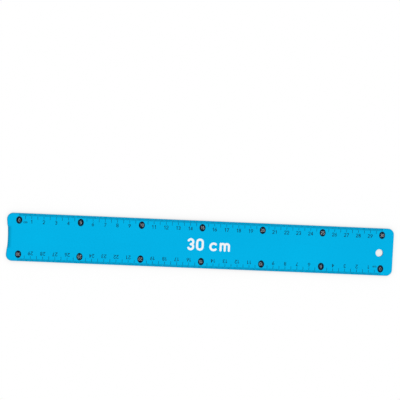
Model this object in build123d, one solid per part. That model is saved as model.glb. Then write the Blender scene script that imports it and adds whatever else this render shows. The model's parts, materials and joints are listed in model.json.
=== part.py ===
"""A 30 cm flexible ruler: a thin moulded blade with a printed centimetre scale on each long edge.

All sizes are in millimetres. +X runs along the ruler from the 0 end to the 30 end, +Y runs
across it towards the edge whose scale reads left to right, and +Z is up, out of the printed
face. The origin is the middle of the underside, so the blade lies on the plane Z = 0.

The real blade is one springy strip. Here it is cut into short spans, numbered from the 0 end
and hinged in a row, so that the row curls the way the strip does. A hinge is a full-thickness
round nose in a socket, on a line across the blade. Spans near the ends are longer, because the
free ends of a bent strip curve least. Every printed mark is wholly on one span.
"""
from build123d import *
from collections import defaultdict, namedtuple
from itertools import accumulate
from math import radians, tan
import os

# Blade
SCALE_CM = 30
MM_PER_CM = 10
END_MARGIN = 10.0
WIDTH = 39.5
THICKNESS = 2.0
CORNER_RADIUS = 5.0
EDGE_ROUND = 0.5

# Hollow in the 0 end, and the scoop along it for a fingertip
HOLLOW_DEPTH = 0.9
HOLLOW_WIDTH = 28.0
SCOOP_WIDTH = 19.5
SCOOP_REACH = 3.6
SCOOP_DEPTH = 1.4

# Hole for a hook, near the 30 end
HOLE_DIAMETER = 6.3
HOLE_FROM_30 = 1.5
HOLE_DROP = 0.8

# Hinges: their lines run half-way between two ticks, so that no mark crosses one
FIRST_HINGE_AFTER_0 = 14.5
OUTER_SPANS = [20.0] * 2
MIDDLE_SPANS = [10.0] * 19
BEND_LIMIT = 11.0
LIP_ANGLE = BEND_LIMIT + 1.5
HINGE_CLEARANCE = 0.05

# Print
INK = 0.04
TICK_WIDTH = 0.27
TICK_MM = 1.7
TICK_HALF_CM = 4.3
TICK_CM = 3.9
NUMERAL_HEIGHT = 3.1
NUMERAL_PEN = 0.40
NUMERAL_FROM_MIDDLE = 13.0
DISC_EVERY_CM = 5
DISC_LENGTH = 5.0
DISC_WIDTH = 6.2
DISC_FROM_MIDDLE = 14.05
DISC_NUMERAL_HEIGHT = 2.4
DISC_NUMERAL_PEN = 0.19
UNIT_HEIGHT = 1.9
UNIT_PEN = 0.30
UNIT_AFTER_0 = 5.0
UNIT_FROM_MIDDLE = 12.6
TITLE_HEIGHT = 10.0
TITLE_PEN = 1.8
TITLE_AFTER_0 = {"3": 137.7, "0": 145.3, "c": 156.3, "m": 164.8}

# Sizes that follow from those above
LENGTH = SCALE_CM * MM_PER_CM + 2 * END_MARGIN
LEFT, RIGHT = -LENGTH / 2, LENGTH / 2
X_OF_0 = LEFT + END_MARGIN
X_OF_30 = RIGHT - END_MARGIN
MIDDLE_Z = THICKNESS / 2
SPANS_BETWEEN_HINGES = OUTER_SPANS + MIDDLE_SPANS + OUTER_SPANS
HINGES = list(accumulate(SPANS_BETWEEN_HINGES, initial=X_OF_0 + FIRST_HINGE_AFTER_0))
SPAN_COUNT = len(HINGES) + 1
TICK_START = WIDTH / 2 - EDGE_ROUND

# Strokes of the characters, on a cell 1 high: an arc, or the points of a straight run
Arc = namedtuple("Arc", "x y radius start sweep")
BOWL = 0.28
CELL_WIDTH = 2 * BOWL
TOP = 1 - BOWL


def ring(x, y, radius):
    """Two arcs that close a circle."""
    return [Arc(x, y, radius, 0, 180), Arc(x, y, radius, 180, 180)]


STROKES = {
    "0": [
        Arc(BOWL, TOP, BOWL, 0, 180),
        Arc(BOWL, BOWL, BOWL, 180, 180),
        [(0, TOP), (0, BOWL)],
        [(CELL_WIDTH, TOP), (CELL_WIDTH, BOWL)],
    ],
    "1": [[(0.12, 0.80), (0.36, 1), (0.36, 0)]],
    "2": [Arc(BOWL, TOP, BOWL, -35, 195), [(0.51, 0.56), (0, 0), (CELL_WIDTH, 0)]],
    "3": [Arc(BOWL, 0.755, 0.245, -90, 240), Arc(BOWL, 0.255, 0.255, -150, 240)],
    "4": [[(0.42, 0), (0.42, 1), (0, 0.28)], [(0, 0.28), (CELL_WIDTH, 0.28)]],
    "5": [Arc(BOWL, 0.30, 0.30, -150, 285), [(0.50, 1), (0.08, 1), (0.04, 0.54)]],
    "6": [*ring(BOWL, BOWL, BOWL), [(0.40, 1), (0.04, 0.42)]],
    "7": [[(0, 1), (CELL_WIDTH, 1), (0.18, 0)]],
    "8": [*ring(BOWL, 0.765, 0.235), *ring(BOWL, 0.265, 0.265)],
    "9": [*ring(BOWL, TOP, BOWL), [(0.16, 0), (0.52, 0.58)]],
    "c": [Arc(0.33, 0.33, 0.33, 50, 260)],
    "m": [
        Arc(0.21, 0.45, 0.21, 0, 180),
        Arc(0.63, 0.45, 0.21, 0, 180),
        [(0, 0), (0, 0.66)],
        [(0.42, 0), (0.42, 0.45)],
        [(0.84, 0), (0.84, 0.45)],
    ],
}
ADVANCE = {"1": 0.50, "c": 0.62, "m": 0.84}
GAP = 0.12


def pen_stroke(stroke, cell, pen):
    """One stroke as a round-ended slot of the pen's width."""
    if isinstance(stroke, Arc):
        x, y, radius = stroke.x * cell, stroke.y * cell, stroke.radius * cell
        return SlotArc(CenterArc((x, y), radius, stroke.start, stroke.sweep), pen)
    points = [(x * cell, y * cell) for x, y in stroke]
    return SlotArc(Wire([Line(a, b) for a, b in zip(points, points[1:])]), pen)


def character(mark, height, pen):
    """One character as a flat face, its strokes fused."""
    slots = [pen_stroke(stroke, height - pen, pen) for stroke in STROKES[mark]]
    return Pos(pen / 2, pen / 2) * (Sketch() + slots)


def word(text, height, pen):
    """A row of characters, centred on the origin."""
    cell = height - pen
    row, x = [], 0.0
    for mark in text:
        row.append(Pos(x, 0) * character(mark, height, pen))
        x += ADVANCE.get(mark, CELL_WIDTH) * cell + pen + GAP * cell
    width = x - GAP * cell
    return [Pos(-width / 2, -height / 2) * mark for mark in row]


def node_at(kind, x):
    """The node that holds one colour of print at a place along the ruler."""
    return f"{kind}_{1 + sum(hinge < x for hinge in HINGES):02d}"


def scoop():
    """What the fingertip scoop takes away: a ramp down to the 0 end, between two sloping sides."""
    ramp = make_face(
        Polyline(
            (LEFT + HOLLOW_DEPTH + SCOOP_REACH, THICKNESS),
            (LEFT + HOLLOW_DEPTH - SCOOP_REACH, THICKNESS - 2 * SCOOP_DEPTH),
            (LEFT + HOLLOW_DEPTH - SCOOP_REACH, THICKNESS),
            close=True,
        )
    )
    half = SCOOP_WIDTH / 2
    between = make_face(
        Polyline(
            (-half, THICKNESS),
            (half, THICKNESS),
            (half - THICKNESS, 0),
            (THICKNESS - half, 0),
            close=True,
        )
    )
    ramp_prism = extrude(Plane.XZ * ramp, WIDTH, both=True)
    return ramp_prism & extrude(Plane.YZ * between, LENGTH, both=True)


def whole_blade():
    """The strip before it is cut: rounded corners and edges, hollow 0 end, scoop and hole."""
    hollow_radius = (HOLLOW_WIDTH**2 / 4 + HOLLOW_DEPTH**2) / (2 * HOLLOW_DEPTH)
    outline = RectangleRounded(LENGTH, WIDTH, CORNER_RADIUS)
    outline -= Pos(LEFT + HOLLOW_DEPTH - hollow_radius, 0) * Circle(hollow_radius)
    blade = extrude(outline, THICKNESS)
    rims = blade.edges().group_by(Axis.Z)
    blade = fillet(rims[0] + rims[-1], EDGE_ROUND)

    hole = Cylinder(HOLE_DIAMETER / 2, 3 * THICKNESS)
    return blade - scoop() - Pos(X_OF_30 - HOLE_FROM_30, -HOLE_DROP, 0) * hole


def span_profile(number):
    """The side view of one span: a round nose at its left hinge, a socket at its right one."""
    is_first, is_last = number == 1, number == SPAN_COUNT
    left = LEFT - THICKNESS if is_first else HINGES[number - 2]
    right = RIGHT + THICKNESS if is_last else HINGES[number - 1]
    profile = Pos((left + right) / 2, MIDDLE_Z) * Rectangle(right - left, 2 * THICKNESS)
    if not is_first:
        profile += Pos(left, MIDDLE_Z) * Circle(MIDDLE_Z)
    if not is_last:
        lip = THICKNESS * tan(radians(LIP_ANGLE))
        for side in (1, -1):
            far_z = MIDDLE_Z + side * THICKNESS
            profile -= make_face(
                Polyline((right, MIDDLE_Z), (right, far_z), (right - lip, far_z), close=True)
            )
        profile -= Pos(right, MIDDLE_Z) * Circle(MIDDLE_Z + HINGE_CLEARANCE)
    return profile


def blade_span(blade, number):
    """One span of the blade, cut out of the whole strip."""
    prism = extrude(Plane.XZ * span_profile(number), WIDTH, both=True)
    return blade & prism


def printed(faces, x, y, base=THICKNESS):
    """Flat marks made solid at a place on the blade, and turned to face the edge they are near."""
    turn = 180 if y < 0 else 0
    return [extrude(Pos(x, y, base) * Rot(0, 0, turn) * face, INK) for face in faces]


def tick_length(millimetre):
    """How far a tick runs in from the edge: half centimetres furthest, then centimetres."""
    if millimetre % (MM_PER_CM * DISC_EVERY_CM) == 0:
        return TICK_MM
    if millimetre % MM_PER_CM == 0:
        return TICK_CM
    if millimetre % (MM_PER_CM // 2) == 0:
        return TICK_HALF_CM
    return TICK_MM


def print_ticks(nodes):
    """A tick at every millimetre of both scales."""
    for millimetre in range(SCALE_CM * MM_PER_CM + 1):
        x = X_OF_0 + millimetre
        length = tick_length(millimetre)
        for side in (1, -1):
            tick = printed([Rectangle(TICK_WIDTH, length)], x, side * (TICK_START - length / 2))
            nodes[node_at("dark_print", x)] += tick


def print_numbers(nodes):
    """The centimetre numbers: dark on the blade, and white on a dark disc at every fifth one."""
    disc = Ellipse(DISC_LENGTH / 2, DISC_WIDTH / 2)
    for centimetre in range(SCALE_CM + 1):
        x = X_OF_0 + centimetre * MM_PER_CM
        for side, number in ((1, centimetre), (-1, SCALE_CM - centimetre)):
            if number % DISC_EVERY_CM:
                figures = word(str(number), NUMERAL_HEIGHT, NUMERAL_PEN)
                y = side * NUMERAL_FROM_MIDDLE
                nodes[node_at("dark_print", x)] += printed(figures, x, y)
            else:
                figures = word(str(number), DISC_NUMERAL_HEIGHT, DISC_NUMERAL_PEN)
                y = side * DISC_FROM_MIDDLE
                nodes[node_at("dark_print", x)] += printed([disc], x, y)
                nodes[node_at("white_print", x)] += printed(figures, x, y, THICKNESS + INK)


def print_units(nodes):
    """The unit beside the 0 of each scale."""
    unit = word("cm", UNIT_HEIGHT, UNIT_PEN)
    for side, x in ((1, X_OF_0 + UNIT_AFTER_0), (-1, X_OF_30 - UNIT_AFTER_0)):
        nodes[node_at("dark_print", x)] += printed(unit, x, side * UNIT_FROM_MIDDLE)


def print_title(nodes):
    """The ruler's length in large figures along its middle."""
    for mark, after_0 in TITLE_AFTER_0.items():
        x = X_OF_0 + after_0
        face = Pos(0, -TITLE_HEIGHT / 2) * character(mark, TITLE_HEIGHT, TITLE_PEN)
        nodes[node_at("white_print", x)] += printed([face], x, 0)


def main():
    os.makedirs("parts", exist_ok=True)
    nodes = defaultdict(list)
    blade = whole_blade()
    for number in range(1, SPAN_COUNT + 1):
        nodes[f"blade_{number:02d}"].append(blade_span(blade, number))
    print_ticks(nodes)
    print_numbers(nodes)
    print_units(nodes)
    print_title(nodes)
    for name, pieces in nodes.items():
        solids = [solid for piece in pieces for solid in piece.solids()]
        export_step(solids[0] if len(solids) == 1 else Compound(solids), f"parts/{name}.step")


main()
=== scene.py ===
"""The looks of a 30 cm flexible ruler: blue soft plastic with dark and white screen print.

Sizes are in millimetres and become metres when a mesh is written. The frame's joints are the lines
where the blade bends. Around each one lies a strip of blade with its print, and a rigid piece closes
the blade at either end. Every point keeps the place it has at rest in the attribute "place", so that
a pattern stays on the plastic as it bends.
"""
import json
from collections import namedtuple
from math import pi, radians

import bmesh
import bpy
import numpy as np
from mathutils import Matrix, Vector

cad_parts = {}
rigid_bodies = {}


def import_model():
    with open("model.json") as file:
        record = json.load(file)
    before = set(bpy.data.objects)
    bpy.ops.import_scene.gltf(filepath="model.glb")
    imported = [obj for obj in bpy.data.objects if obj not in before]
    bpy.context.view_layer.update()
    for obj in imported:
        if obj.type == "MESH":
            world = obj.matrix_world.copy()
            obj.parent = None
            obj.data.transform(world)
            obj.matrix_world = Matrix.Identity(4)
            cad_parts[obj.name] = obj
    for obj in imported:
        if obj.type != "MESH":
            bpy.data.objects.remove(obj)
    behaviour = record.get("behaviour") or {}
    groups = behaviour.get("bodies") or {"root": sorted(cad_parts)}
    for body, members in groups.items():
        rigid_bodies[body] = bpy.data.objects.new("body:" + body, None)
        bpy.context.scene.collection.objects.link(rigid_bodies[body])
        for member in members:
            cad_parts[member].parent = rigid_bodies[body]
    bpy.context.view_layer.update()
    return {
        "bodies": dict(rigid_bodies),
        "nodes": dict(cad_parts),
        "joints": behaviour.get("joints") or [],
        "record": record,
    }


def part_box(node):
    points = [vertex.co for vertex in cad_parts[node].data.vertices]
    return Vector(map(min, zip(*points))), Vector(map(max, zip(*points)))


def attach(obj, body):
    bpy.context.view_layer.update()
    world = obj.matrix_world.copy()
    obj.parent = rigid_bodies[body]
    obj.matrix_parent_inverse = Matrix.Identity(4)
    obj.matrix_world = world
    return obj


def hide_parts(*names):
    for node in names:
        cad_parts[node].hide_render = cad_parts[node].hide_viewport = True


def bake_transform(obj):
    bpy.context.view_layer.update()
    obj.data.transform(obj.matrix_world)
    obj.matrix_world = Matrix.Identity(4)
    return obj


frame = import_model()

MM = 0.001
MOUNTS = {mount["name"]: mount for mount in frame["record"]["mounts"]}

# Blade
SPAN_COUNT = len(frame["bodies"])
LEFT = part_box("blade_01")[0].x / MM
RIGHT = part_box(f"blade_{SPAN_COUNT:02d}")[1].x / MM
WIDTH = 2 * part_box("blade_01")[1].y / MM
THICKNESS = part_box("blade_01")[1].z / MM
HINGES = sorted(joint["pos_m"][0] / MM for joint in frame["joints"])
CORNER_RADIUS = 5.0
EDGE_ROUND = 0.5
EDGE_SHARE_WHERE_THIN = 0.45
HOLLOW_DEPTH = 0.9
HOLLOW_WIDTH = 28.0
SCOOP_WIDTH = 19.5
SCOOP_REACH = 3.6
SCOOP_DEPTH = 1.4
SCOOP_SIDE = 2.0
HOLE_RADIUS = MOUNTS["hang_hole"]["dims"]["r_mm"]
HOLE_CENTRE = np.array(MOUNTS["hang_hole"]["pos_m"][:2]) / MM
HOLE_ROUND = 0.12

# From either end to the scale's nearest mark, and from the outermost hinges to the end pieces
END_MARGIN = 10.0
END_BAND = 8.0

# Fineness of the blade's mesh: points along curves, steps of straight runs, and rows of faces
STEP_ALONG = 0.5
STEP_ACROSS = 2.0
STEP_OF_RIM = 1.0
STEP_OF_END = 0.8
CORNER_POINTS = 14
HOLLOW_POINTS = 71
EDGE_POINTS = 6
HOLE_EDGE_POINTS = 4
CUT_POINTS = 61
HOLE_ROWS = 9
SPINE_ROWS = 21

# The spine is the line across the hollow end on which its faces close
SPINE_FROM_SIDE = 7.0

# Print
SCALE_CM = 30
MM_PER_CM = 10
X_OF_0 = LEFT + END_MARGIN
X_OF_30 = RIGHT - END_MARGIN
INK = 0.03
INK_ROOT = 0.02
INK_STAGGER = 0.0015
TICK_START = WIDTH / 2 - EDGE_ROUND
TICK_WIDTH = 0.27
TICK_MM = 1.7
TICK_HALF_CM = 4.3
TICK_CM = 3.9
NUMERAL_HEIGHT = 3.1
NUMERAL_PEN = 0.40
NUMERAL_FROM_MIDDLE = 13.0
DISC_EVERY_CM = 5
DISC_LENGTH = 5.0
DISC_WIDTH = 6.2
DISC_FROM_MIDDLE = 14.05
DISC_NUMERAL_HEIGHT = 2.4
DISC_NUMERAL_PEN = 0.19
UNIT_HEIGHT = 1.9
UNIT_PEN = 0.30
UNIT_AFTER_0 = 5.0
UNIT_FROM_MIDDLE = 12.6
TITLE_HEIGHT = 10.0
TITLE_PEN = 1.8
TITLE_AFTER_0 = {"3": 137.7, "0": 145.3, "c": 156.3, "m": 164.8}

# Fineness of the print's mesh
PEN_STEP = 0.5
PEN_STEP_ACROSS = 0.6
DISC_RINGS = 9
DISC_POINTS = 48

# Strokes of the characters, on a cell 1 high: an arc, or the points of a straight run
Arc = namedtuple("Arc", "x y radius start sweep")
BOWL = 0.28
CELL_WIDTH = 2 * BOWL
TOP = 1 - BOWL
STROKES = {
    "0": [
        Arc(BOWL, TOP, BOWL, 0, 180),
        Arc(BOWL, BOWL, BOWL, 180, 180),
        [(0, TOP), (0, BOWL)],
        [(CELL_WIDTH, TOP), (CELL_WIDTH, BOWL)],
    ],
    "1": [[(0.12, 0.80), (0.36, 1), (0.36, 0)]],
    "2": [Arc(BOWL, TOP, BOWL, -35, 195), [(0.51, 0.56), (0, 0), (CELL_WIDTH, 0)]],
    "3": [Arc(BOWL, 0.755, 0.245, -90, 240), Arc(BOWL, 0.255, 0.255, -150, 240)],
    "4": [[(0.42, 0), (0.42, 1), (0, 0.28), (CELL_WIDTH, 0.28)]],
    "5": [Arc(BOWL, 0.30, 0.30, -150, 285), [(0.50, 1), (0.08, 1), (0.04, 0.54)]],
    "6": [Arc(BOWL, BOWL, BOWL, 0, 360), [(0.40, 1), (0.04, 0.42)]],
    "7": [[(0, 1), (CELL_WIDTH, 1), (0.18, 0)]],
    "8": [Arc(BOWL, 0.765, 0.235, 0, 360), Arc(BOWL, 0.265, 0.265, 0, 360)],
    "9": [Arc(BOWL, TOP, BOWL, 0, 360), [(0.16, 0), (0.52, 0.58)]],
    "c": [Arc(0.33, 0.33, 0.33, 50, 260)],
    "m": [
        Arc(0.21, 0.45, 0.21, 0, 180),
        Arc(0.63, 0.45, 0.21, 0, 180),
        [(0, 0), (0, 0.66)],
        [(0.42, 0), (0.42, 0.45)],
        [(0.84, 0), (0.84, 0.45)],
    ],
}
ADVANCE = {"1": 0.50, "c": 0.62, "m": 0.84}
GAP = 0.12

# Camera and light
CAMERA_PLACE = (-0.03038, 0.06392, 0.64162)
CAMERA_TURN = (-2.531, -2.327, 2.616)
LENS = 70.0
SKY_LEVEL = 0.26
TABLE_LEVEL = 0.6
LAMP_LEVEL = 0.38
SUN_WIDTH = 30.0
LAMPS = {"upper light": (0.6, 0.2, 1.0), "lower light": (0.6, -0.2, 1.0)}
FLOOR_HALF = 6.0
SHADE_REACH = 0.25
SHADE_LEVEL = 0.60

# Colours, linear
BLADE_BLUE = (0.0, 0.445, 0.783, 1)
DEEPER_BLUE = (0.0, 0.421, 0.757, 1)
LIGHTER_BLUE = (0.0, 0.446, 0.788, 1)
# Painted shade: the dark blue that the blade is darkened towards at its rim
RIM_SHADE_BLUE = (0.0, 0.30, 0.50, 1)
NAVY = (0.001, 0.004, 0.012, 1)
WHITE = (0.86, 0.90, 0.92, 1)

# How far in from its outline the blade is darkened with painted shade, and how much of the dark rim colour
# it has there
RIM_REACH = 1.5
RIM_SHADE_SHARE = 0.5

# How much of a dark disc shows through the white number on it, and how near the rim the discs are
DISC_SHARE = 0.42
DISCS_WITHIN = 10.0


# Meshes

def grid(points, loop_rows=False, loop_columns=False):
    """A surface on a grid: points is rows by columns by 3, and each cell of the grid is a quad."""
    rows, columns = points.shape[:2]
    index = np.arange(rows * columns).reshape(rows, columns)
    if loop_rows:
        index = np.vstack([index, index[:1]])
    if loop_columns:
        index = np.hstack([index, index[:, :1]])
    corners = [index[:-1, :-1], index[:-1, 1:], index[1:, 1:], index[1:, :-1]]
    return points.reshape(-1, 3), np.stack(corners, -1).reshape(-1, 4)


def joined(shapes):
    """Several grids as one list of points and one of quads."""
    starts = np.cumsum([0] + [len(points) for points, _ in shapes[:-1]])
    quads = [quads + start for (_, quads), start in zip(shapes, starts)]
    return np.vstack([points for points, _ in shapes]), np.vstack(quads)


def welded(shape):
    """A bmesh of a shape whose coinciding points are merged and whose faces point outwards."""
    points, quads = shape
    mesh = bpy.data.meshes.new("welded")
    mesh.from_pydata(points * MM, [], quads.tolist())
    bm = bmesh.new()
    bm.from_mesh(mesh)
    bpy.data.meshes.remove(mesh)
    bmesh.ops.remove_doubles(bm, verts=bm.verts, dist=1e-4 * MM)
    bmesh.ops.dissolve_degenerate(bm, edges=bm.edges, dist=1e-5 * MM)
    bmesh.ops.recalc_face_normals(bm, faces=bm.faces)
    return bm


def cut_between(bm, x_low, x_high):
    """Keeps what lies between two planes across the ruler, and closes the cuts."""
    for x, side in ((x_low, -1), (x_high, 1)):
        geometry = [*bm.verts, *bm.edges, *bm.faces]
        plane = {"plane_co": (x * MM, 0, 0), "plane_no": (side, 0, 0)}
        bmesh.ops.bisect_plane(bm, geom=geometry, dist=1e-5 * MM, clear_outer=True, **plane)
        bmesh.ops.holes_fill(bm, edges=[edge for edge in bm.edges if edge.is_boundary])


def piece(name, bm, material, nodes):
    """A finished piece that stands for some of the frame's nodes, with its place at rest stored."""
    mesh = bpy.data.meshes.new(name)
    bm.to_mesh(mesh)
    bm.free()
    place = np.empty(len(mesh.vertices) * 3, np.float32)
    mesh.vertices.foreach_get("co", place)
    mesh.attributes.new("place", "FLOAT_VECTOR", "POINT").data.foreach_set("vector", place)
    rim = mesh.attributes.new("to_rim", "FLOAT", "POINT")
    rim.data.foreach_set("value", distance_to_rim(place.reshape(-1, 3) / MM).astype(np.float32))
    mesh.shade_smooth()
    mesh.set_sharp_from_angle(angle=radians(50))
    mesh.materials.append(material)
    made = bpy.data.objects.new(name, mesh)
    bpy.context.scene.collection.objects.link(made)
    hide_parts(*nodes)
    return made


# Blade

def arc(centre, radius, start, end, count):
    """Points on a circle from one angle to another, in degrees."""
    angle = np.radians(np.linspace(start, end, count))
    return np.stack([centre[0] + radius * np.cos(angle), centre[1] + radius * np.sin(angle)], 1)


def run(start, end, step):
    """Points on a straight line, no further than a step apart."""
    start, end = np.array(start, float), np.array(end, float)
    count = 1 + max(1, int(np.ceil(np.linalg.norm(end - start) / step)))
    return start + (end - start) * np.linspace(0, 1, count)[:, None]


def path(*stretches):
    """Stretches laid end to end, without the points where they meet being repeated."""
    return np.vstack([stretches[0], *(stretch[1:] for stretch in stretches[1:])])


def rim_profile():
    """Inset and height of the blade's edge, in fractions: a quarter circle, the wall, another."""
    angle = np.radians(np.linspace(0, 90, EDGE_POINTS))
    low = np.stack([1 - np.sin(angle), 0 * angle, 1 - np.cos(angle)], 1)
    high = np.stack([1 - np.cos(angle), 0 * angle + 1, np.sin(angle) - 1], 1)
    return np.vstack([low, high])


def outline_of_ends():
    """The outline round the hollow end and round the 30 end, in plan, both counterclockwise."""
    inner = WIDTH / 2 - CORNER_RADIUS
    hollow_radius = (HOLLOW_WIDTH**2 / 4 + HOLLOW_DEPTH**2) / (2 * HOLLOW_DEPTH)
    hollow_centre = (LEFT + HOLLOW_DEPTH - hollow_radius, 0)
    swing = np.degrees(np.arcsin(HOLLOW_WIDTH / 2 / hollow_radius))
    zero_end = path(
        arc((LEFT + CORNER_RADIUS, inner), CORNER_RADIUS, 90, 180, CORNER_POINTS),
        arc(hollow_centre, hollow_radius, swing, -swing, HOLLOW_POINTS),
        arc((LEFT + CORNER_RADIUS, -inner), CORNER_RADIUS, 180, 270, CORNER_POINTS),
    )
    thirty_end = path(
        arc((RIGHT - CORNER_RADIUS, -inner), CORNER_RADIUS, 270, 360, CORNER_POINTS),
        run((RIGHT, -inner), (RIGHT, inner), STEP_OF_END),
        arc((RIGHT - CORNER_RADIUS, inner), CORNER_RADIUS, 0, 90, CORNER_POINTS),
    )
    return zero_end, thirty_end


ZERO_END, THIRTY_END = outline_of_ends()


def distance_to_rim(places):
    """How far each place is from the blade's outline, in plan, in millimetres.

    It is the distance to the nearer long edge or, half a width or less from either end, to the
    nearest point of the ends if that is closer."""
    side = WIDTH / 2 - np.abs(places[:, 1])
    ends = np.vstack([ZERO_END, THIRTY_END])
    near_end = (places[:, 0] < LEFT + WIDTH / 2) | (places[:, 0] > RIGHT - WIDTH / 2)
    to_end = np.full(len(places), np.inf)
    gap = places[near_end, None, :2] - ends[None]
    to_end[near_end] = np.sqrt((gap**2).sum(-1)).min(1, initial=np.inf)
    return np.minimum(side, to_end)


def strip_shape(x_low, x_high):
    """A stretch of blade: the edge's rounded profile, carried along X, with flat ends."""
    edge = rim_profile()
    y_edge = WIDTH / 2 - edge[:, 0] * EDGE_ROUND
    z_edge = edge[:, 1] * THICKNESS + edge[:, 2] * EDGE_ROUND
    face = np.linspace(1, -1, int(WIDTH / STEP_ACROSS) + 1)[1:-1] * (WIDTH / 2 - EDGE_ROUND)
    y = np.concatenate([y_edge, face, -y_edge[::-1], -face])
    z = np.concatenate([z_edge, 0 * face + THICKNESS, z_edge[::-1], 0 * face])
    count = 1 + int(np.ceil((x_high - x_low) / STEP_ALONG))
    x = np.linspace(x_low, x_high, count)
    rows = np.stack(np.broadcast_arrays(x[:, None], y[None], z[None]), -1)
    return grid(rows, loop_columns=True)


def strip(x_low, x_high):
    """A welded strip, its two ends closed by flat faces."""
    bm = welded(strip_shape(x_low, x_high))
    bmesh.ops.holes_fill(bm, edges=[edge for edge in bm.edges if edge.is_boundary])
    bmesh.ops.recalc_face_normals(bm, faces=bm.faces)
    return bm


def scoop(x, y):
    """How much the fingertip scoop lowers the face.

    Towards the end of the blade it deepens as a quarter of a cosine wave, and a little further
    where the hollow is shallower. At either side it rises to the face again in an S-shaped curve."""
    inwards = np.clip((LEFT + HOLLOW_DEPTH + SCOOP_REACH - x) / SCOOP_REACH, 0, 1.2)
    sideways = np.clip((SCOOP_WIDTH / 2 - np.abs(y)) / SCOOP_SIDE, 0, 1)
    return SCOOP_DEPTH * (1 - np.cos(inwards * pi / 2)) * sideways**2 * (3 - 2 * sideways)


def end_rings(outline, cut_line):
    """The edge of an end piece as rings from its underside to its face.

    A ring follows the outline, moved in along its normal and up by the edge's profile, and then
    the straight cut, drawn in by as much at its two corners."""
    along = np.gradient(outline, axis=0)
    along /= np.linalg.norm(along, axis=1, keepdims=True)
    normal = np.stack([along[:, 1], -along[:, 0]], 1)
    rings = []
    for inset, up, lift in rim_profile():
        rim = outline - normal * inset * EDGE_ROUND
        cut = cut_line * [1, 1 - inset * EDGE_ROUND / (WIDTH / 2)]
        ring = np.vstack([rim, cut])
        thickness = THICKNESS - scoop(ring[:, 0], ring[:, 1])
        height = up * thickness + lift * np.minimum(EDGE_ROUND, EDGE_SHARE_WHERE_THIN * thickness)
        rings.append(np.column_stack([ring, height]))
    return rings


def zero_end_piece(cut):
    """The hollow end: from the rim, each face closes by straight lines onto a spine across it."""
    half = WIDTH / 2
    upper = run((cut, half), ZERO_END[0], STEP_OF_RIM)
    lower = run(ZERO_END[-1], (cut, -half), STEP_OF_RIM)
    straight_cut = run((cut, -half), (cut, half), STEP_OF_RIM)[1:-1]
    rings = end_rings(path(upper, ZERO_END, lower), straight_cut)
    spine_end = half - SPINE_FROM_SIDE
    spine_x = (LEFT + HOLLOW_DEPTH + cut) / 2

    def onto_spine(ring, is_top):
        spine = np.stack([0 * ring[:, 0] + spine_x, np.clip(ring[:, 1], -spine_end, spine_end)], 1)
        rows = []
        for share in np.linspace(0, 1, SPINE_ROWS + 1)[1:]:
            flat = ring[:, :2] * (1 - share) + spine * share
            height = is_top * (THICKNESS - scoop(flat[:, 0], flat[:, 1]))
            rows.append(np.column_stack([flat, height]))
        return rows

    under = onto_spine(rings[0], 0)
    over = onto_spine(rings[-1], 1)
    return welded(grid(np.stack(under[::-1] + rings + over), loop_columns=True))


def thirty_end_piece(cut):
    """The rounded end: both faces run from the rim to the hole, and the hole's wall joins them."""
    half = WIDTH / 2
    lower = run((cut, -half), THIRTY_END[0], STEP_OF_RIM)
    upper = run(THIRTY_END[-1], (cut, half), STEP_OF_RIM)
    reach = HOLE_CENTRE[0] - cut
    lowest, highest = np.arctan((np.array([-half, half]) - HOLE_CENTRE[1]) / reach)
    fan = HOLE_CENTRE[1] + reach * np.tan(np.linspace(highest, lowest, CUT_POINTS)[1:-1])
    rings = end_rings(path(lower, THIRTY_END, upper), np.column_stack([0 * fan + cut, fan]))

    away = rings[0][:, :2] - HOLE_CENTRE
    away /= np.linalg.norm(away, axis=1, keepdims=True)
    angle = np.radians(np.linspace(0, 90, HOLE_EDGE_POINTS))
    rounding = np.stack([HOLE_ROUND * (1 - np.sin(angle)), HOLE_ROUND * (1 - np.cos(angle))], 1)
    down = [(HOLE_RADIUS + out, THICKNESS - drop) for out, drop in rounding]
    wall = down + [(radius, THICKNESS - height) for radius, height in down[::-1]]
    hole = [np.column_stack([HOLE_CENTRE + away * radius, 0 * away[:, :1] + z]) for radius, z in wall]

    shares = np.linspace(0, 1, HOLE_ROWS + 1)[1:-1, None, None]
    over = rings[-1] * (1 - shares) + hole[0] * shares
    under = hole[-1] * (1 - shares) + rings[0] * shares
    return welded(grid(np.stack([*rings, *over, *hole, *under]), loop_rows=True, loop_columns=True))


# Print

def slab(rows_of_centres, half_widths, normals, low, high, across):
    """A flat slab along a line: at each centre it reaches its half width to both sides."""
    offset = normals[:, None] * half_widths[:, None, None] * across[None, :, None]
    plan = rows_of_centres[:, None] + offset
    top = np.concatenate([plan, np.full((*plan.shape[:2], 1), high)], -1)
    bottom = np.concatenate([plan, np.full((*plan.shape[:2], 1), low)], -1)[:, ::-1]
    return np.concatenate([top, bottom], 1)


def ribbon(line, pen, low, high):
    """A pen stroke: the line's points widened by half a pen, with a half circle past each end."""
    along = np.gradient(line, axis=0)
    along /= np.linalg.norm(along, axis=1, keepdims=True)
    past = np.array([1.0, 0.92, 0.7, 0.38])[:, None]
    extra = len(past)
    centres = np.vstack([
        line[0] - along[0] * past * pen / 2,
        line,
        line[-1] + along[-1] * past[::-1] * pen / 2,
    ])
    tangents = np.vstack([np.repeat(along[:1], extra, 0), along, np.repeat(along[-1:], extra, 0)])
    round_end = np.sqrt(1 - past[:, 0] ** 2)
    half_widths = pen / 2 * np.concatenate([round_end, np.ones(len(line)), round_end[::-1]])
    normals = np.stack([-tangents[:, 1], tangents[:, 0]], 1)
    across = np.linspace(1, -1, 3 + 2 * int(pen / PEN_STEP_ACROSS))
    return grid(slab(centres, half_widths, normals, low, high, across), loop_columns=True)


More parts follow.
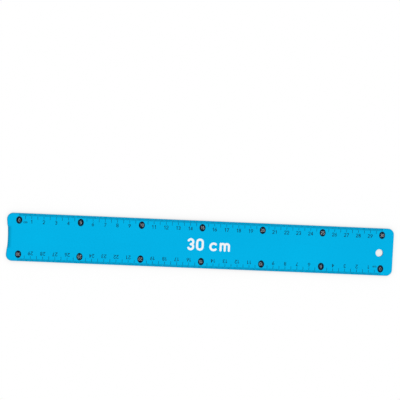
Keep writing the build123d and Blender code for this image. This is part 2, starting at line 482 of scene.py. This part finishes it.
def centrelines(stroke, cell):
    """The centrelines of one stroke in millimetres: an arc, or each straight run on its own."""
    if isinstance(stroke, Arc):
        length = stroke.radius * cell * radians(stroke.sweep)
        count = 3 + 2 * max(3, int(length / PEN_STEP))
        centre = (stroke.x * cell, stroke.y * cell)
        return [arc(centre, stroke.radius * cell, stroke.start, stroke.start + stroke.sweep, count)]
    points = np.array(stroke, float) * cell
    return [run(a, b, PEN_STEP) for a, b in zip(points, points[1:])]


def character(mark, height, pen):
    """The centrelines of one character, in a cell whose lower left corner is the origin."""
    cell = height - pen
    return [line + pen / 2 for stroke in STROKES[mark] for line in centrelines(stroke, cell)]


def word(text, height, pen):
    """The centrelines of a row of characters, centred on the origin."""
    cell = height - pen
    lines, x = [], 0.0
    for mark in text:
        lines += [line + [x, 0] for line in character(mark, height, pen)]
        x += ADVANCE.get(mark, CELL_WIDTH) * cell + pen + GAP * cell
    return [line - [(x - GAP * cell) / 2, height / 2] for line in lines]


def inked(lines, pen, x, y, base=THICKNESS):
    """Strokes laid at a place on the face, turned to face their own edge and never quite level."""
    turn = -1 if y < 0 else 1
    tops = base + INK + INK_STAGGER * np.arange(len(lines))
    return [ribbon(line * turn + [x, y], pen, base - INK_ROOT, top) for line, top in zip(lines, tops)]


def disc(x, y):
    """An oval disc of ink: rings of points from the middle of its top out and back underneath."""
    share = np.linspace(0, 1, DISC_RINGS)
    reach = np.concatenate([share, share[::-1]])[:, None]
    height = np.repeat([THICKNESS + INK, THICKNESS - INK_ROOT], len(share))[:, None]
    angle = np.linspace(0, 2 * pi, DISC_POINTS + 1)[None, :-1]
    rings = np.broadcast_arrays(
        x + reach * np.cos(angle) * DISC_LENGTH / 2,
        y + reach * np.sin(angle) * DISC_WIDTH / 2,
        height,
    )
    return grid(np.stack(rings, -1), loop_columns=True)


def tick_length(millimetre):
    """How far a tick runs in from the edge: half centimetres furthest, then centimetres."""
    if millimetre % (MM_PER_CM * DISC_EVERY_CM) == 0:
        return TICK_MM
    if millimetre % MM_PER_CM == 0:
        return TICK_CM
    if millimetre % (MM_PER_CM // 2) == 0:
        return TICK_HALF_CM
    return TICK_MM


def tick(x, side, length):
    """A tick as a short slab across the blade."""
    line = np.array([(x, side * TICK_START), (x, side * (TICK_START - length))])
    normals = np.array([(1.0, 0.0), (1.0, 0.0)])
    half = np.array([TICK_WIDTH / 2] * 2)
    rows = slab(line, half, normals, THICKNESS - INK_ROOT, THICKNESS + INK, np.array([1.0, -1.0]))
    return grid(rows, loop_columns=True)


def tick_shapes():
    """A tick at every millimetre of both scales."""
    return [
        tick(X_OF_0 + millimetre, side, tick_length(millimetre))
        for millimetre in range(SCALE_CM * MM_PER_CM + 1)
        for side in (1, -1)
    ]


def number_shapes():
    """The centimetre numbers: dark on the blade, and white on a dark disc at every fifth one."""
    dark, white = [], []
    for centimetre in range(SCALE_CM + 1):
        x = X_OF_0 + centimetre * MM_PER_CM
        for side, number in ((1, centimetre), (-1, SCALE_CM - centimetre)):
            if number % DISC_EVERY_CM:
                lines = word(str(number), NUMERAL_HEIGHT, NUMERAL_PEN)
                dark += inked(lines, NUMERAL_PEN, x, side * NUMERAL_FROM_MIDDLE)
            else:
                lines = word(str(number), DISC_NUMERAL_HEIGHT, DISC_NUMERAL_PEN)
                y = side * DISC_FROM_MIDDLE
                dark.append(disc(x, y))
                white += inked(lines, DISC_NUMERAL_PEN, x, y, THICKNESS + INK)
    return dark, white


def unit_shapes():
    """The unit beside the 0 of each scale."""
    lines = word("cm", UNIT_HEIGHT, UNIT_PEN)
    upper = inked(lines, UNIT_PEN, X_OF_0 + UNIT_AFTER_0, UNIT_FROM_MIDDLE)
    return upper + inked(lines, UNIT_PEN, X_OF_30 - UNIT_AFTER_0, -UNIT_FROM_MIDDLE)


def title_shapes():
    """The ruler's length in large figures along its middle."""
    shapes = []
    for mark, after_0 in TITLE_AFTER_0.items():
        lines = [line - [0, TITLE_HEIGHT / 2] for line in character(mark, TITLE_HEIGHT, TITLE_PEN)]
        shapes += inked(lines, TITLE_PEN, X_OF_0 + after_0, 0)
    return shapes


# Materials

def node_maker(tree):
    """A function that adds a node, sets its values, and links what feeds its inputs."""
    def add(kind, inputs=None, **settings):
        node = tree.nodes.new(kind)
        for name, value in settings.items():
            setattr(node, name, value)
        for name, value in (inputs or {}).items():
            socket = node.inputs[name]
            if isinstance(value, bpy.types.NodeSocket):
                tree.links.new(value, socket)
            else:
                socket.default_value = value
        return node
    return add


def moulded_grain():
    """The blade's surface: fine satin grain, faint flow from moulding, and slow shifts of tone."""
    tree = bpy.data.node_groups.new("moulded grain", "ShaderNodeTree")
    tree.interface.new_socket("Place", in_out="INPUT", socket_type="NodeSocketVector")
    tree.interface.new_socket("Tone", in_out="OUTPUT", socket_type="NodeSocketFloat")
    tree.interface.new_socket("Height", in_out="OUTPUT", socket_type="NodeSocketFloat")
    add = node_maker(tree)
    place = add("NodeGroupInput").outputs["Place"]
    grain = add("ShaderNodeTexNoise", {"Vector": place, "Scale": 3200.0, "Detail": 3.0, "Roughness": 0.6})
    stretch = add("ShaderNodeMapping", {"Vector": place, "Scale": (0.12, 1.0, 1.0)})
    flow = add("ShaderNodeTexNoise", {"Vector": stretch.outputs[0], "Scale": 160.0, "Detail": 2.0})
    slow = add("ShaderNodeTexNoise", {"Vector": place, "Scale": 18.0, "Detail": 3.0, "Roughness": 0.45})
    low = add("ShaderNodeMath", {0: flow.outputs[0], 1: 1.6}, operation="MULTIPLY")
    height = add("ShaderNodeMath", {0: grain.outputs[0], 1: low.outputs[0]}, operation="ADD")
    part = add("ShaderNodeMath", {0: flow.outputs[0], 1: 0.35}, operation="MULTIPLY")
    tone = add("ShaderNodeMath", {0: slow.outputs[0], 1: part.outputs[0]}, operation="ADD")
    add("NodeGroupOutput", {"Tone": tone.outputs[0], "Height": height.outputs[0]})
    return tree


def moulded_rim():
    """The blade's rim: painted shade fading inwards from the outline, and where hands have rubbed it."""
    tree = bpy.data.node_groups.new("rim shade and rub", "ShaderNodeTree")
    tree.interface.new_socket("Place", in_out="INPUT", socket_type="NodeSocketVector")
    tree.interface.new_socket("To Rim", in_out="INPUT", socket_type="NodeSocketFloat")
    tree.interface.new_socket("Reach", in_out="INPUT", socket_type="NodeSocketFloat")
    tree.interface.new_socket("Fade", in_out="OUTPUT", socket_type="NodeSocketFloat")
    tree.interface.new_socket("Rub", in_out="OUTPUT", socket_type="NodeSocketFloat")
    add = node_maker(tree)
    given = add("NodeGroupInput").outputs
    noise = add("ShaderNodeTexNoise", {"Vector": given["Place"], "Scale": 420.0, "Detail": 4.0})
    near = add(
        "ShaderNodeMapRange",
        {"Value": given["To Rim"], "From Min": given["Reach"], "From Max": 0.0},
        interpolation_type="SMOOTHSTEP",
    )
    broken = add("ShaderNodeMapRange", {"Value": noise.outputs[0], "From Min": 0.38, "From Max": 0.62})
    rub = add("ShaderNodeMath", {0: near.outputs[0], 1: broken.outputs[0]}, operation="MULTIPLY")
    add("NodeGroupOutput", {"Fade": near.outputs[0], "Rub": rub.outputs[0]})
    return tree


def print_film():
    """Screen print: the mesh's faint unevenness in tone, pinholes, and a slightly rough skin."""
    tree = bpy.data.node_groups.new("print film", "ShaderNodeTree")
    tree.interface.new_socket("Place", in_out="INPUT", socket_type="NodeSocketVector")
    tree.interface.new_socket("Thin", in_out="OUTPUT", socket_type="NodeSocketFloat")
    tree.interface.new_socket("Height", in_out="OUTPUT", socket_type="NodeSocketFloat")
    add = node_maker(tree)
    place = add("NodeGroupInput").outputs["Place"]
    fine = add("ShaderNodeTexNoise", {"Vector": place, "Scale": 5200.0, "Detail": 2.0})
    patch = add("ShaderNodeTexNoise", {"Vector": place, "Scale": 700.0, "Detail": 3.0})
    both = add("ShaderNodeMath", {0: fine.outputs[0], 1: patch.outputs[0]}, operation="MULTIPLY")
    thin = add("ShaderNodeMapRange", {"Value": both.outputs[0], "From Min": 0.30, "From Max": 0.46})
    add("NodeGroupOutput", {"Thin": thin.outputs[0], "Height": fine.outputs[0]})
    return tree


MOULDED_GRAIN = moulded_grain()
RIM_SHADE_AND_RUB = moulded_rim()
PRINT_FILM = print_film()


def new_material(name, **constants):
    """A material with a Principled shader whose constant values are set on its own sockets."""
    material = bpy.data.materials.new(name)
    material.use_nodes = True
    tree = material.node_tree
    shader = tree.nodes["Principled BSDF"]
    for socket, value in constants.items():
        shader.inputs[socket.replace("_", " ")].default_value = value
    add = node_maker(tree)
    place = add("ShaderNodeAttribute", attribute_name="place").outputs["Vector"]
    return material, tree, shader, add, place


def blade_plastic():
    """Soft blue plastic: satin, darkened with painted shade at the rim, and smoother where it is handled."""
    material, tree, shader, add, place = new_material("blue soft plastic", Specular_IOR_Level=0.06)
    grain = add("ShaderNodeGroup", {"Place": place}, node_tree=MOULDED_GRAIN)
    to_rim = add("ShaderNodeAttribute", attribute_name="to_rim").outputs["Fac"]
    rim = add(
        "ShaderNodeGroup",
        {"Place": place, "To Rim": to_rim, "Reach": RIM_REACH},
        node_tree=RIM_SHADE_AND_RUB,
    )
    tone = add("ShaderNodeMapRange", {"Value": grain.outputs["Tone"], "From Min": 0.4, "From Max": 0.95})
    body = add(
        "ShaderNodeMix",
        {"Factor": tone.outputs[0], 6: DEEPER_BLUE, 7: LIGHTER_BLUE},
        data_type="RGBA",
    )
    # Painted shade: the blade's colour darkens towards its outline
    depth = add("ShaderNodeMath", {0: rim.outputs["Fade"], 1: RIM_SHADE_SHARE}, operation="MULTIPLY")
    rim_shaded = add(
        "ShaderNodeMix",
        {"Factor": depth.outputs[0], 6: body.outputs[2], 7: RIM_SHADE_BLUE},
        data_type="RGBA",
    )
    tree.links.new(rim_shaded.outputs[2], shader.inputs["Base Color"])
    rough = add(
        "ShaderNodeMapRange",
        {"Value": grain.outputs["Height"], "From Min": 0.9, "From Max": 1.7, "To Min": 0.42, "To Max": 0.56},
    )
    rubbed = add("ShaderNodeMath", {0: rim.outputs["Rub"], 1: -0.10}, operation="MULTIPLY")
    total = add("ShaderNodeMath", {0: rough.outputs[0], 1: rubbed.outputs[0]}, operation="ADD")
    tree.links.new(total.outputs[0], shader.inputs["Roughness"])
    bump = add("ShaderNodeBump", {"Strength": 0.35, "Distance": 0.00002, "Height": grain.outputs["Height"]})
    tree.links.new(bump.outputs[0], shader.inputs["Normal"])
    return material


def ink(name, colour, show_through, roughness, disc_share=0.0):
    """Screen-printed ink: where the film is thin, a little of the blue shows through.

    Over the discs, which are all near the rim, a share of their dark tone shows through too."""
    material, tree, shader, add, place = new_material(name, Specular_IOR_Level=0.10)
    film = add("ShaderNodeGroup", {"Place": place}, node_tree=PRINT_FILM)
    part = add("ShaderNodeMath", {0: film.outputs["Thin"], 1: show_through}, operation="MULTIPLY")
    mix = add("ShaderNodeMix", {"Factor": part.outputs[0], 6: colour, 7: BLADE_BLUE}, data_type="RGBA")
    to_rim = add("ShaderNodeAttribute", attribute_name="to_rim").outputs["Fac"]
    over_disc = add("ShaderNodeMath", {0: to_rim, 1: DISCS_WITHIN}, operation="LESS_THAN")
    share = add("ShaderNodeMath", {0: over_disc.outputs[0], 1: disc_share}, operation="MULTIPLY")
    toned = add("ShaderNodeMix", {"Factor": share.outputs[0], 6: mix.outputs[2], 7: NAVY}, data_type="RGBA")
    tree.links.new(toned.outputs[2], shader.inputs["Base Color"])
    rough = add(
        "ShaderNodeMapRange",
        {"Value": film.outputs["Thin"], "To Min": roughness, "To Max": roughness + 0.12},
    )
    tree.links.new(rough.outputs[0], shader.inputs["Roughness"])
    bump = add("ShaderNodeBump", {"Strength": 0.25, "Distance": 0.00001, "Height": film.outputs["Height"]})
    tree.links.new(bump.outputs[0], shader.inputs["Normal"])
    return material


# The ruler

BLUE = blade_plastic()
DARK_INK = ink("navy print", NAVY, show_through=0.35, roughness=0.40)
WHITE_INK = ink("white print", WHITE, show_through=0.18, roughness=0.45, disc_share=DISC_SHARE)


def seams():
    """Where strips meet: half-way between hinges, and END_BAND beyond the first and last one."""
    hinges = np.array(HINGES)
    between = (hinges[1:] + hinges[:-1]) / 2
    return np.concatenate([[hinges[0] - END_BAND], between, [hinges[-1] + END_BAND]])


def nodes_between(kind, spans, x_low, x_high):
    """The frame's nodes of one kind, on some spans, that reach into a stretch of the ruler."""
    names = [f"{kind}_{span:02d}" for span in spans]
    return [
        name for name in names if name in frame["nodes"]
        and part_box(name)[1].x > x_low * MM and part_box(name)[0].x < x_high * MM
    ]


def printed(shapes, x_low, x_high):
    """The marks that lie in a stretch of the ruler, cut off at its ends."""
    inside = [
        shape for shape in shapes
        if shape[0][:, 0].max() > x_low and shape[0][:, 0].min() < x_high
    ]
    if not inside:
        return None
    bm = welded(joined(inside))
    cut_between(bm, x_low, x_high)
    return bm


def stretches():
    """Each stretch of the ruler as its label, its spans, its ends and the hinge it lies around."""
    places = seams()
    yield "zero_end", [1], LEFT - 1, places[0], None
    for number, (hinge, low, high) in enumerate(zip(HINGES, places, places[1:]), 1):
        yield f"strip_{number:02d}", [number, number + 1], low, high, hinge
    yield "thirty_end", [SPAN_COUNT], places[-1], RIGHT + 1, None


def blade_mesh(label, x_low, x_high):
    """The blade's mesh in one stretch."""
    if label == "zero_end":
        return zero_end_piece(x_high)
    if label == "thirty_end":
        return thirty_end_piece(x_low)
    return strip(x_low, x_high)


def fasten(made, spans, hinge):
    """A piece at an end rides on its one span; a strip around a hinge is left where it lies, on no span."""
    bodies = [f"span_{span:02d}" for span in spans]
    if hinge is None:
        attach(made, bodies[0])
        return
    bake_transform(made)


def make_ruler():
    """All pieces of the ruler, stretch by stretch."""
    dark_numbers, white_numbers = number_shapes()
    dark_shapes = tick_shapes() + dark_numbers + unit_shapes()
    white_shapes = white_numbers + title_shapes()
    for label, spans, x_low, x_high, hinge in stretches():
        layers = (
            ("blade", blade_mesh(label, x_low, x_high), BLUE, "blade_plastic"),
            ("dark_print", printed(dark_shapes, x_low, x_high), DARK_INK, "dark_ink"),
            ("white_print", printed(white_shapes, x_low, x_high), WHITE_INK, "white_ink"),
        )
        for kind, bm, material, slot in layers:
            if bm is None:
                continue
            nodes = nodes_between(kind, spans, x_low, x_high)
            made = piece(f"{kind}_{label}", bm, material, nodes)
            fasten(made, spans, hinge)


make_ruler()


# Studio

def studio_floor():
    """A clear sheet at table height that only the camera sees, darker where the ruler shades it.

    It hides nothing, so that the ruler still shows where it curls down past the table."""
    mesh = bpy.data.meshes.new("floor")
    half = FLOOR_HALF
    corners = [(-half, -half, 0), (half, -half, 0), (half, half, 0), (-half, half, 0)]
    mesh.from_pydata(corners, [], [(0, 1, 2, 3)])
    material = bpy.data.materials.new("white table top")
    material.use_nodes = True
    tree = material.node_tree
    add = node_maker(tree)
    shade = add("ShaderNodeAmbientOcclusion", {"Distance": SHADE_REACH}, samples=16)
    level = add("ShaderNodeMapRange", {"Value": shade.outputs["AO"], "To Min": SHADE_LEVEL, "To Max": 1.0})
    clear = add("ShaderNodeBsdfTransparent", {"Color": level.outputs[0]})
    tree.links.new(clear.outputs[0], tree.nodes["Material Output"].inputs["Surface"])
    mesh.materials.append(material)
    floor = bpy.data.objects.new("floor", mesh)
    bpy.context.scene.collection.objects.link(floor)
    floor.visible_diffuse = False
    floor.visible_glossy = False
    floor.visible_transmission = False
    floor.visible_shadow = False


def white_world():
    """A world that is plain white to the eye and in reflections.

    As a light it is a soft grey sky, and below the horizon the paler light of a white table."""
    world = bpy.data.worlds.new("white studio")
    bpy.context.scene.world = world
    world.use_nodes = True
    tree = world.node_tree
    background = tree.nodes["Background"]
    background.inputs["Color"].default_value = (1, 1, 1, 1)
    add = node_maker(tree)
    ray = add("ShaderNodeLightPath").outputs
    direct = add("ShaderNodeMath", {0: ray["Is Camera Ray"], 1: ray["Is Glossy Ray"]}, operation="MAXIMUM")
    seen = add("ShaderNodeMath", {0: direct.outputs[0], 1: ray["Is Transmission Ray"]}, operation="MAXIMUM")
    direction = add("ShaderNodeTexCoord").outputs["Generated"]
    height = add("ShaderNodeSeparateXYZ", {0: direction}).outputs["Z"]
    light = add(
        "ShaderNodeMapRange",
        {"Value": height, "From Min": -0.05, "From Max": 0.05, "To Min": TABLE_LEVEL, "To Max": SKY_LEVEL},
    )
    level = add("ShaderNodeMapRange", {"Value": seen.outputs[0], "To Min": light.outputs[0], "To Max": 1.0})
    tree.links.new(level.outputs[0], background.inputs["Strength"])


def soft_sun(name, direction):
    """A wide soft light from far away, so strong that a level white surface shows LAMP_LEVEL of it.

    It leaves reflections to the white studio, so that the face keeps its depth of colour."""
    lamp = bpy.data.lights.new(name, "SUN")
    lamp.angle = radians(SUN_WIDTH)
    towards = Vector(direction).normalized()
    lamp.energy = LAMP_LEVEL * pi / towards.z
    made = bpy.data.objects.new(name, lamp)
    made.rotation_euler = towards.to_track_quat("Z", "Y").to_euler()
    made.visible_glossy = False
    bpy.context.scene.collection.objects.link(made)


def photo_camera():
    """The camera at the photograph's place and angle."""
    data = bpy.data.cameras.new("photo camera")
    data.lens = LENS
    camera = bpy.data.objects.new("photo camera", data)
    camera.location = CAMERA_PLACE
    camera.rotation_euler = [radians(angle) for angle in CAMERA_TURN]
    bpy.context.scene.collection.objects.link(camera)
    bpy.context.scene.camera = camera


studio_floor()
white_world()
for lamp_name, slant in LAMPS.items():
    soft_sun(lamp_name, slant)
photo_camera()
bpy.context.scene.view_settings.view_transform = "Standard"
